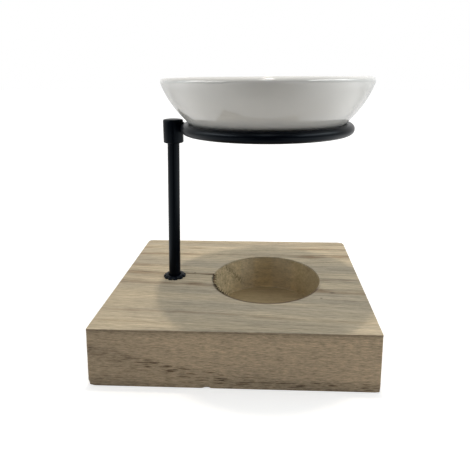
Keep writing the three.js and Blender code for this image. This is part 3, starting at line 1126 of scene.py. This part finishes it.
RIM_THICKNESS = 2.7
RIM_OUTER_ROUND = 1.7
RIM_INNER_ROUND = RIM_THICKNESS - RIM_OUTER_ROUND
WALL_LEAN = 12
WALL_HANDLE = 6.5
FOOT_RADIUS = 19
FOOT_WIDTH = 3
FOOT_HEIGHT = 0.8
FOOT_ROUND = 0.3
FOOT_FILLET = 0.15
BARE_HEIGHT = 0.25  # the foot has no glaze below this
BELLY_HANDLE = 10.9
FLOOR_RADIUS = 17
FLOOR_THICKNESS = 3.3
BOWL_RISE = 0.35  # the rim is this much higher on the right and lower on the left
BOWL_SHIFT = 0.1  # the rim is this much further to the left
WALL_WAIST = 0.32  # the wall is drawn in by this much between the ring and the rim
RIM_INSET = 0.04
# Waves round the rim, outward and upward: each has a size, a count and a phase.
RIM_OUTWARD = ((0.08, 2, 0.7), (0.05, 3, 2.1))
RIM_UPWARD = ((0.06, 2, 2.4), (0.04, 5, 0))


def bowl_rim():
    """The rim, from the wall outside over the top to the wall inside."""
    radius = (BOWL_HIGH[0] - BOWL_LOW[0]) / 2 - RIM_OUTER_ROUND
    top = BOWL_HIGH[2]
    outer = arc(radius, top - RIM_OUTER_ROUND, RIM_OUTER_ROUND, -WALL_LEAN, 90, 14)
    inner = arc(radius, top - RIM_INNER_ROUND, RIM_INNER_ROUND, 90, 180 + WALL_LEAN, 10)
    return outer + inner[1:]


def bowl_profile():
    """From the middle of the underside out over the foot, up the wall and down to the floor inside."""
    bottom = BOWL_LOW[2]
    belly = bottom + FOOT_HEIGHT
    floor = belly + FLOOR_THICKNESS
    rim = bowl_rim()
    lean = math.radians(WALL_LEAN)
    drop = -WALL_HANDLE * np.array([math.sin(lean), math.cos(lean)])
    inside = FOOT_RADIUS - FOOT_WIDTH
    profile = [(radius, belly) for radius in (0, 4, 9, inside - 0.5)]
    profile += [(inside - 0.1, belly - FOOT_FILLET), (inside, bottom + 0.4)]
    profile += arc(inside + FOOT_ROUND, bottom + FOOT_ROUND, FOOT_ROUND, 200, 270, 4)
    profile += [(FOOT_RADIUS - FOOT_WIDTH / 2, bottom)]
    profile += arc(FOOT_RADIUS - FOOT_ROUND, bottom + FOOT_ROUND, FOOT_ROUND, 270, 350, 4)
    profile += [(FOOT_RADIUS, belly - FOOT_FILLET), (FOOT_RADIUS + FOOT_ROUND, belly)]
    profile += bezier(profile[-1], (FOOT_RADIUS + BELLY_HANDLE, belly), np.add(rim[0], drop), rim[0], 40)
    profile += rim[1:]
    profile += bezier(rim[-1], np.add(rim[-1], drop), (FLOOR_RADIUS + BELLY_HANDLE, floor),
                      (FLOOR_RADIUS, floor), 40)
    return profile + [(radius, floor) for radius in (12, 8, 4, 0)]


def waves(terms, angles):
    return sum(size * np.cos(count * angles + phase) for size, count, phase in terms)


def make_bowl():
    bottom = BOWL_LOW[2]
    high = BOWL_HIGH[2] - bottom

    def vary(radius, height, angles):
        lift = (height - bottom) / high
        out = (waves(RIM_OUTWARD, angles) - RIM_INSET) * lift
        shift = BOWL_SHIFT * np.cos(angles) * step_up(lift, 0.1, 0.45)
        waist = WALL_WAIST * step_up(lift, 0.22, 0.36) * (1 - step_up(lift, 0.8, 1))
        up = waves(RIM_UPWARD, angles) * lift ** 3 + BOWL_RISE * np.cos(angles) * lift
        return radius + out - shift - waist, height + up

    rows = turned(bowl_profile(), 224, BOWL_X, vary)
    bowl = make_object("glazed_bowl", *skin(rows), [GLAZE, BISQUE], crease=40)
    for face in bowl.data.polygons:
        if face.center.z / MM < bottom + BARE_HEIGHT and face.normal.z < -0.5:
            face.material_index = 1
    settle(bowl, "bowl", "glaze", "bowl")


make_bowl()


# Floor, lights and background, in metres

WARM = (1, 0.88, 0.74)
COOL = (0.86, 0.97, 1)
# Lamps: a name, a place, a width, a power and a colour.
LAMPS = (
    ("lamp_above", (0.01, 0.14, 1.414), 0.06, 5.2, WARM),
    ("lamp_right", (1.11, 0.0, 0.6), 0.6, 3.2, COOL),
    ("lamp_left", (-1.11, 0.0, 0.4), 0.6, 1.8, COOL),
)
LAMP_TARGET = (SEAT[0] * MM, 0, 0.03)
AMBIENT = 0.74
FLOOR_WHITE = 0.65
FLOOR_GLOW = 0.56
GLOW_PAST_FLAG = 0.4  # added to the floor's glow towards the flag and past it
FLAG_BLACK = 0.03
FLAG_Y = -0.62
FLAG_HALF_WIDTH = 0.95
FLAG_HEIGHTS = (0.002, 0.75)
# Level panels: half a width, a front, a back and a height.
FLOOR = (3, -3, 3, 0)
FLOOR_CARD = (2.4, -0.6, 2.9, 0.001)
TOP_CARD = (0.05, -0.6, -0.17, 0.6)
CARD_GREY = 0.45  # glow of the floor card behind the block
CARD_NEAR = 1.1  # and close before it
CARD_LEFT = 2.15  # and to its sides
CARD_RIGHT = 3.05
CARD_FAR_LEFT = 0.25  # share by which it is brighter further to the left
CARD_SIDES_BEHIND = 0.6  # share by which its sides are darker behind the block
CARD_FAR = 0.8  # its glow far off and in its front corners
SIDE_CARDS = (("left_card", 203), ("right_card", 337))  # each with its bearing in degrees
SIDE_CARD_HALF_WIDTH = 0.31
SIDE_CARD_DISTANCE = 0.7
SIDE_CARD_HEIGHTS = (0.36, 0.6)
SIDE_CARD_GLOW = 10.0
TOP_CARD_GLOW = 8.0


def make_lamp(name, place, width, power, colour):
    data = bpy.data.lights.new(name, "AREA")
    data.shape = "DISK"
    data.size = width
    data.energy = power
    data.color = colour
    lamp = bpy.data.objects.new(name, data)
    lamp.location = place
    lamp.rotation_euler = (Vector(LAMP_TARGET) - lamp.location).to_track_quat("-Z", "Y").to_euler()
    bpy.context.collection.objects.link(lamp)


def level_panel(half_width, front, back, height):
    """The corners of a level panel."""
    near = [(-half_width, front, height), (half_width, front, height)]
    return near + [(half_width, back, height), (-half_width, back, height)]


def upright_panel(first, second, low, high):
    """The corners of an upright panel over two points of the floor."""
    return [(*first, low), (*second, low), (*second, high), (*first, high)]


def make_panel(name, points, material):
    mesh = bpy.data.meshes.new(name)
    mesh.from_pydata(points, [], [(0, 1, 2, 3)])
    mesh.materials.append(material)
    panel = bpy.data.objects.new(name, mesh)
    bpy.context.collection.objects.link(panel)
    return panel


def matt(shade, glow=0.0):
    """A grey with no gloss, which may glow white."""
    return {
        "Base Color": (shade, shade, shade, 1),
        "Roughness": 1,
        "Specular IOR Level": 0,
        "Emission Color": (1, 1, 1, 1),
        "Emission Strength": glow,
    }


def floor_white(graph):
    past_flag = graph.place()[1].fall(-500, -250)
    return matt(FLOOR_WHITE, graph.seen() * (FLOOR_GLOW + past_flag * GLOW_PAST_FLAG))


def make_flag():
    """A black panel behind the camera, which keeps the light off the front."""
    points = upright_panel((-FLAG_HALF_WIDTH, FLAG_Y), (FLAG_HALF_WIDTH, FLAG_Y), *FLAG_HEIGHTS)
    flag = make_panel("flag", points, make_material("flag_black", lambda graph: matt(FLAG_BLACK)))
    flag.visible_camera = False


def make_gloss_card(name, points, glow):
    """A card that shows only in gloss. glow(graph) gives its brightness."""
    card = make_panel(name, points, make_material(name, lambda graph: matt(0, glow(graph))))
    card.visible_camera = False
    card.visible_diffuse = False
    card.visible_shadow = False


def floor_card_glow(graph):
    """Bright to the sides, and dark straight ahead but for a stretch close before the block.

    It is an even grey far off and in the front corners, to keep the bowl's outline from the side."""
    x, y, _ = graph.place()
    across = abs(x - SEAT[0])
    side = across.rise(20, 200)
    behind = y.rise(0, 150)
    middle = y.rise(-160, -70) * (1 - behind) * CARD_NEAR + behind * CARD_GREY
    bright = CARD_LEFT + x.rise(-20, 40) * (CARD_RIGHT - CARD_LEFT)
    bright = bright * (1 + x.fall(-330, -160) * CARD_FAR_LEFT) * (1 - y.rise(10, 170) * CARD_SIDES_BEHIND)
    close = side * bright + middle * (1 - side)
    front_corner = y.fall(-240, -90) * across.rise(150, 300)
    at_hand = y.fall(200, 600) * across.fall(420, 720) * (1 - front_corner)
    return close * at_hand + (1 - at_hand) * CARD_FAR


def make_cards():
    make_gloss_card("floor_card", level_panel(*FLOOR_CARD), floor_card_glow)
    for name, bearing in SIDE_CARDS:
        out = np.array([math.cos(math.radians(bearing)), math.sin(math.radians(bearing))])
        middle = SIDE_CARD_DISTANCE * out
        along = SIDE_CARD_HALF_WIDTH * np.array([-out[1], out[0]])
        points = upright_panel(middle - along, middle + along, *SIDE_CARD_HEIGHTS)
        make_gloss_card(name, points, lambda graph: SIDE_CARD_GLOW)
    make_gloss_card("top_card", level_panel(*TOP_CARD), lambda graph: TOP_CARD_GLOW)


def make_world():
    world = bpy.data.worlds.new("studio")
    bpy.context.scene.world = world
    world.use_nodes = True
    graph = Graph(world.node_tree)
    strength = AMBIENT + graph.seen() * (1 - AMBIENT)
    graph.feed(world.node_tree.nodes["Background"], {"Color": (1, 1, 1, 1), "Strength": strength})


make_panel("floor", level_panel(*FLOOR), make_material("floor_white", floor_white))
make_flag()
make_cards()
make_world()
for lamp in LAMPS:
    make_lamp(*lamp)
